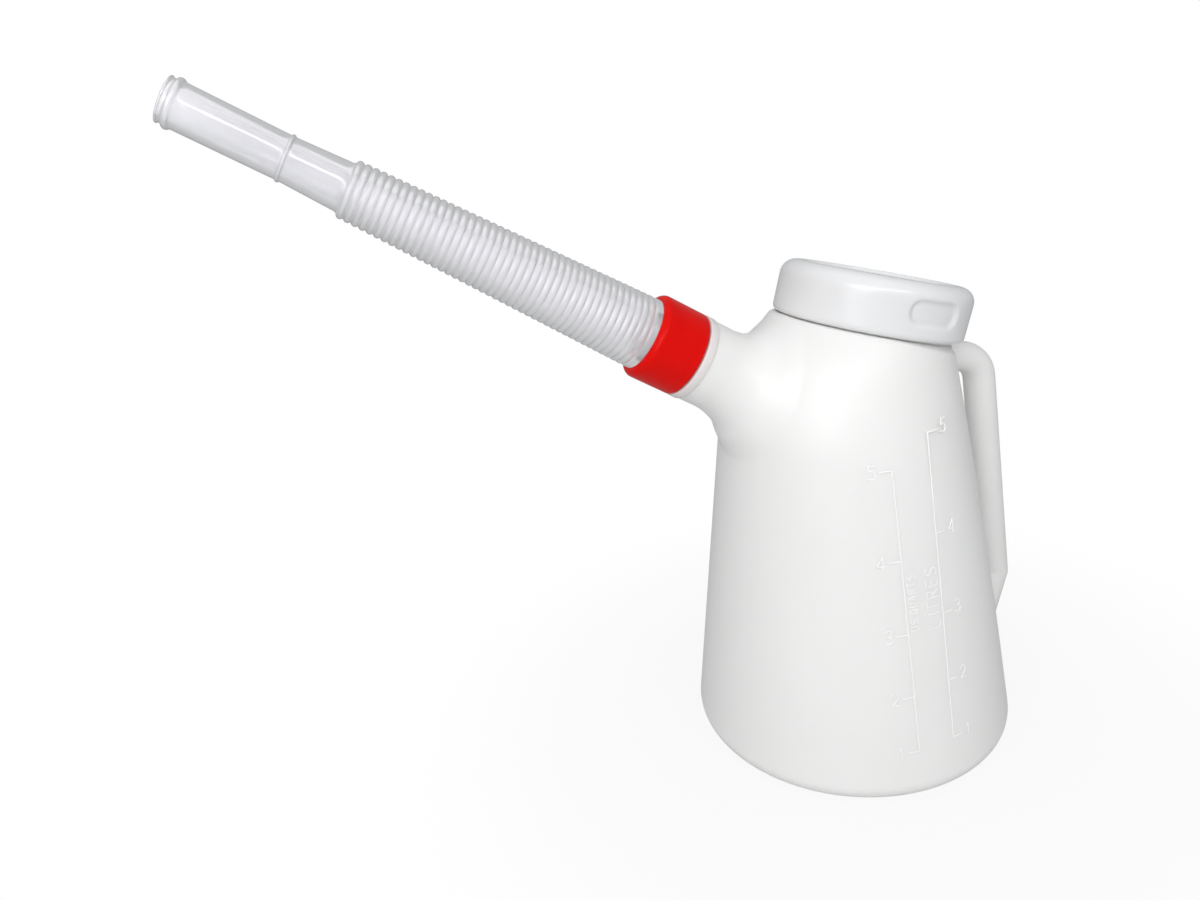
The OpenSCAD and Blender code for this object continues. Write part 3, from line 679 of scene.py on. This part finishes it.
# ---------------------------------------------------------------- floor, light and camera
def build_stage():
    """A wide pale floor just under the standing ring, and a soft white world around the object."""
    n = 24
    x, y = np.meshgrid(np.linspace(-2.2, 2.2, n), np.linspace(-2.2, 2.2, n), indexing="ij")
    verts = np.stack([x, y, np.full_like(x, -0.0004)], -1).reshape(-1, 3)
    mesh = bpy.data.meshes.new("floor")
    mesh.from_pydata(verts.tolist(), [], grid_faces(n, n, close_columns=False)[:, ::-1].tolist())
    floor = bpy.data.objects.new("floor", mesh)
    bpy.context.scene.collection.objects.link(floor)
    m, nt, s = new_material("floor_white")
    s.inputs["Base Color"].default_value = (0.62, 0.62, 0.62, 1)
    s.inputs["Roughness"].default_value = 0.9
    s.inputs["Specular IOR Level"].default_value = 0.0
    path = nt.nodes.new("ShaderNodeLightPath")
    glow = nt.nodes.new("ShaderNodeEmission")
    mix = nt.nodes.new("ShaderNodeMixShader")
    glow.inputs["Color"].default_value = (1, 1, 1, 1)
    seen = nt.nodes.new("ShaderNodeMath")
    seen.operation = "MAXIMUM"
    nt.links.new(path.outputs["Is Camera Ray"], seen.inputs[0])
    nt.links.new(path.outputs["Is Transmission Ray"], seen.inputs[1])
    # the seen floor is plain white far from the object, and takes a soft shadow near it
    co = nt.nodes.new("ShaderNodeTexCoord")
    reach = nt.nodes.new("ShaderNodeVectorMath")
    reach.operation = "LENGTH"
    nt.links.new(co.outputs["Object"], reach.inputs[0])
    fade = nt.nodes.new("ShaderNodeMapRange")
    fade.interpolation_type = "SMOOTHSTEP"
    for key, value in (("From Min", 0.10), ("From Max", 0.34), ("To Min", 0.90), ("To Max", 1.0)):
        fade.inputs[key].default_value = value
    nt.links.new(reach.outputs["Value"], fade.inputs["Value"])
    part = nt.nodes.new("ShaderNodeMath")
    part.operation = "MULTIPLY"
    nt.links.new(seen.outputs[0], part.inputs[0])
    nt.links.new(fade.outputs["Result"], part.inputs[1])
    nt.links.new(part.outputs[0], mix.inputs["Fac"])
    nt.links.new(s.outputs["BSDF"], mix.inputs[1])
    nt.links.new(glow.outputs["Emission"], mix.inputs[2])
    nt.links.new(mix.outputs["Shader"], nt.nodes["Material Output"].inputs["Surface"])
    mesh.materials.append(m)

    world = bpy.data.worlds.new("studio")
    bpy.context.scene.world = world
    world.use_nodes = True
    nt = world.node_tree
    nt.nodes.clear()
    out = nt.nodes.new("ShaderNodeOutputWorld")
    soft = nt.nodes.new("ShaderNodeBackground")
    soft.inputs["Color"].default_value = (0.97, 0.98, 1.0, 1)
    soft.inputs["Strength"].default_value = 0.45
    white = nt.nodes.new("ShaderNodeBackground")
    white.inputs["Color"].default_value = (1, 1, 1, 1)
    white.inputs["Strength"].default_value = 1.0
    path = nt.nodes.new("ShaderNodeLightPath")
    seen = nt.nodes.new("ShaderNodeMath")
    seen.operation = "MAXIMUM"
    mix = nt.nodes.new("ShaderNodeMixShader")
    nt.links.new(path.outputs["Is Camera Ray"], seen.inputs[0])
    nt.links.new(path.outputs["Is Transmission Ray"], seen.inputs[1])
    nt.links.new(seen.outputs[0], mix.inputs["Fac"])
    nt.links.new(soft.outputs["Background"], mix.inputs[1])
    nt.links.new(white.outputs["Background"], mix.inputs[2])
    nt.links.new(mix.outputs["Shader"], out.inputs["Surface"])


def lamp(name, place_m, target, size, power):
    """A white soft lamp, a rectangle of the given width and height, that faces a point."""
    data = bpy.data.lights.new(name, "AREA")
    data.shape = "RECTANGLE"
    data.size, data.size_y = size
    data.energy = power
    obj = bpy.data.objects.new(name, data)
    bpy.context.scene.collection.objects.link(obj)
    z = np.array(place_m, float) - np.array(target, float)
    z /= np.linalg.norm(z)
    x = np.cross((0, 0, 1.0), z)
    x = x / np.linalg.norm(x) if np.linalg.norm(x) > 1e-6 else np.array([1.0, 0, 0])
    y = np.cross(z, x)
    obj.matrix_world = Matrix([[x[0], y[0], z[0], place_m[0]], [x[1], y[1], z[1], place_m[1]],
                               [x[2], y[2], z[2], place_m[2]], [0, 0, 0, 1]])


build_stage()
lamp("overhead", (-0.1, -0.1, 1.5), (0, 0, 0.2), (1.4, 1.0), 1.5)
lamp("front_left", (-1.05, -1.15, 1.0), (0, 0, 0.2), (0.9, 0.9), 11.5)
lamp("front_strip", (-0.1, -1.4, 1.15), (-0.2, 0, 0.35), (1.5, 0.14), 7.2)


def build_camera():
    """The camera at the place, turn and focal length that the photograph's outlines give."""
    yaw, pitch, roll = 0.213, 0.357, -0.131
    focal_px, width_px = 847.4, 1200
    right = np.array([cos(yaw), -sin(yaw), 0.0])
    ahead = np.array([sin(yaw) * cos(pitch), cos(yaw) * cos(pitch), -sin(pitch)])
    up = np.cross(right, ahead)
    r2 = cos(roll) * right + sin(roll) * up
    u2 = -sin(roll) * right + cos(roll) * up
    data = bpy.data.cameras.new("camera")
    data.sensor_width = 36.0
    data.lens = focal_px / width_px * data.sensor_width
    data.clip_start = 0.01
    cam = bpy.data.objects.new("camera", data)
    bpy.context.scene.collection.objects.link(cam)
    c = np.array([-248.08, -444.44, 388.43]) * MM
    cam.matrix_world = Matrix([[r2[0], u2[0], -ahead[0], c[0]], [r2[1], u2[1], -ahead[1], c[1]],
                               [r2[2], u2[2], -ahead[2], c[2]], [0, 0, 0, 1]])
    bpy.context.scene.camera = cam


build_camera()
bpy.context.scene.view_settings.view_transform = "Standard"
